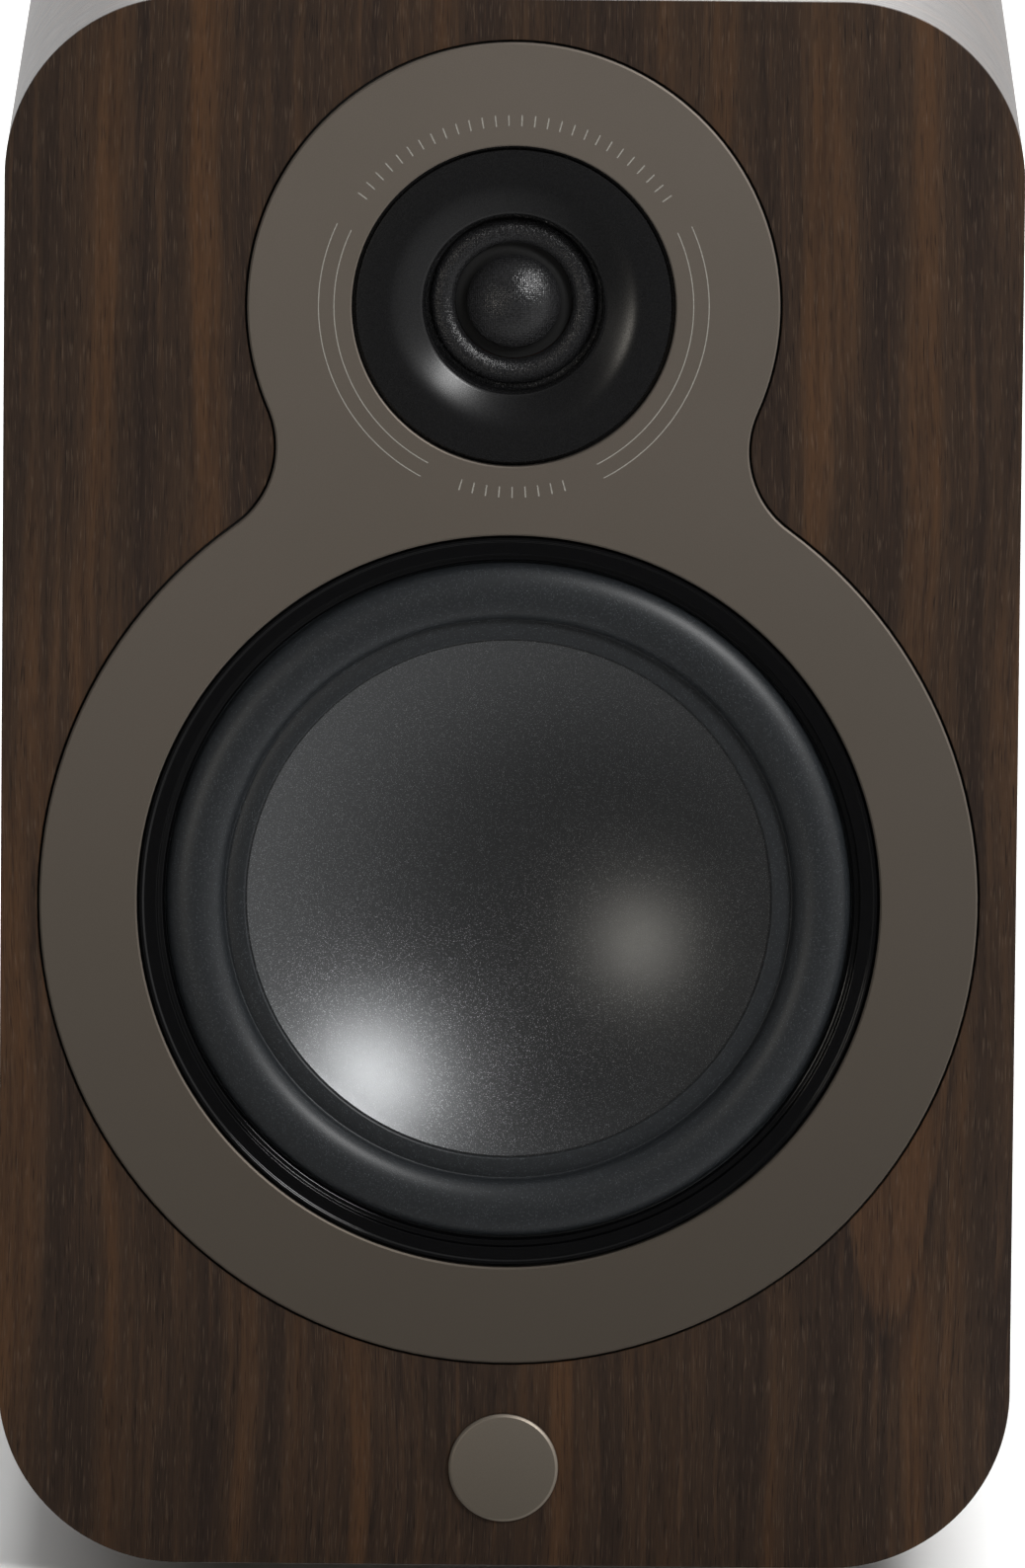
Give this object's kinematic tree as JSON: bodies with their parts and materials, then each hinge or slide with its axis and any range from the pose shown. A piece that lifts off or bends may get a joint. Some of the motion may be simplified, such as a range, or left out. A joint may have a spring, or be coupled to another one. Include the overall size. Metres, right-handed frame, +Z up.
{
  "type": "bookshelf speaker",
  "caption": "Compact two-way loudspeaker: rounded wood-veneered box, keyhole metal trim round a dished cone driver and a dome tweeter, rear port and screw terminals.",
  "frame": {"origin": "on the floor under the middle of the whole depth and width", "axes": "+X across the width, to the right as seen from the front; -Y is the front, where the drivers face; +Z up"},
  "size_m": [0.165, 0.2392, 0.2605],
  "materials": {
    "board": "raw fibreboard, matt",
    "front_wood": "dark open-pored veneer, vertical grain, satin",
    "wrap_wood": "dark veneer with the grain running round the body, satin lacquer",
    "back_paint": "black textured paint",
    "trim_metal": "satin bronze-grey anodised",
    "foot_rubber": "matt",
    "driver_frame": "black textured paint",
    "gasket_foam": "matt foam",
    "gloss_ring": "gloss black",
    "surround_rubber": "matt with a fine sheen",
    "cone": "charcoal, fine metallic grain, satin",
    "former": "plain",
    "copper": "enamelled copper wire",
    "spider_cloth": "resin-stiffened cloth",
    "motor_steel": "zinc plated",
    "ferrite": "ground ferrite",
    "phenolic": "brown laminate",
    "face_plastic": "satin black",
    "dome_cloth": "coated cloth, black",
    "neodymium": "nickel plated",
    "black_plastic": "moulded, fine texture",
    "red_plastic": "moulded, red",
    "gold_plate": "gold plated",
    "screw_steel": "black oxide",
    "capacitor_film": "yellow film wrap",
    "resistor_ceramic": "unglazed white",
    "red_wire": "twin wire insulation",
    "dark_wire": "twin wire insulation",
    "wadding": "loose polyester wadding"
  },
  "bodies": {
    "root": {"cabinet_shell": "board", "front_baffle": "board", "back_panel": "back_paint", "side_veneer": "wrap_wood", "front_veneer": "front_wood", "window_brace": "board", "wadding_lining": "wadding", "trim_plate": "trim_metal", "badge": "trim_metal", "foot_front_left": "foot_rubber", "foot_front_right": "foot_rubber", "foot_rear_left": "foot_rubber", "foot_rear_right": "foot_rubber", "woofer_basket": "driver_frame", "woofer_gasket": "gasket_foam", "woofer_trim_ring": "gloss_ring", "woofer_surround": "surround_rubber", "woofer_spider": "spider_cloth", "woofer_top_plate": "motor_steel", "woofer_magnet": "ferrite", "woofer_pole_yoke": "motor_steel", "woofer_terminal": "phenolic", "woofer_screw_1": "screw_steel", "woofer_screw_2": "screw_steel", "woofer_screw_3": "screw_steel", "woofer_screw_4": "screw_steel", "tweeter_faceplate": "face_plastic", "tweeter_surround": "dome_cloth", "tweeter_pole_tip": "motor_steel", "tweeter_magnet": "neodymium", "tweeter_cup": "motor_steel", "tweeter_rear_housing": "black_plastic", "tweeter_screw_1": "screw_steel", "tweeter_screw_2": "screw_steel", "port_tube": "black_plastic", "terminal_plate": "black_plastic", "post_stud_red": "gold_plate", "post_stud_black": "gold_plate", "post_nut_red": "gold_plate", "post_nut_black": "gold_plate", "terminal_screw_1": "screw_steel", "terminal_screw_2": "screw_steel", "terminal_screw_3": "screw_steel", "terminal_screw_4": "screw_steel", "crossover_board": "phenolic", "crossover_inductor": "copper", "crossover_capacitor": "capacitor_film", "crossover_resistor": "resistor_ceramic", "woofer_lead": "red_wire", "tweeter_lead": "dark_wire", "input_lead": "dark_wire"},
    "woofer_moving": {"woofer_cone": "cone", "woofer_coil_former": "former", "woofer_coil_winding": "copper"},
    "tweeter_moving": {"tweeter_dome": "dome_cloth", "tweeter_voice_coil": "copper"},
    "red_collar": {"post_collar_red": "black_plastic"},
    "red_cap": {"post_cap_red": "red_plastic"},
    "black_collar": {"post_collar_black": "black_plastic"},
    "black_cap": {"post_cap_black": "black_plastic"}
  },
  "joints": [
    {"name": "woofer_travel", "type": "slide", "parent": "root", "child": "woofer_moving", "axis": [0, -1, 0], "range_m": [-0.004, 0.004], "stiffness_N_per_m": 1000, "deforming": ["woofer_surround", "woofer_spider"]},
    {"name": "tweeter_travel", "type": "slide", "parent": "root", "child": "tweeter_moving", "axis": [0, -1, 0], "range_m": [-0.0003, 0.0003], "stiffness_N_per_m": 1000, "deforming": ["tweeter_surround"]},
    {"name": "red_post_lift", "type": "slide", "parent": "root", "child": "red_collar", "axis": [0, 1, 0], "range_m": [0, 0.004]},
    {"name": "red_post_turn", "type": "hinge", "parent": "red_collar", "child": "red_cap", "pos_m": [-0.00953, 0.11125, 0.0645], "axis": [0, 1, 0], "range_deg": [0, 1800]},
    {"name": "black_post_lift", "type": "slide", "parent": "root", "child": "black_collar", "axis": [0, 1, 0], "range_m": [0, 0.004]},
    {"name": "black_post_turn", "type": "hinge", "parent": "black_collar", "child": "black_cap", "pos_m": [0.00953, 0.11125, 0.0645], "axis": [0, 1, 0], "range_deg": [0, 1800]}
  ],
  "couplings": [
    {"joint": "red_post_turn", "follows": "red_post_lift", "rad_per_m": 7854},
    {"joint": "black_post_turn", "follows": "black_post_lift", "rad_per_m": 7854}
  ]
}
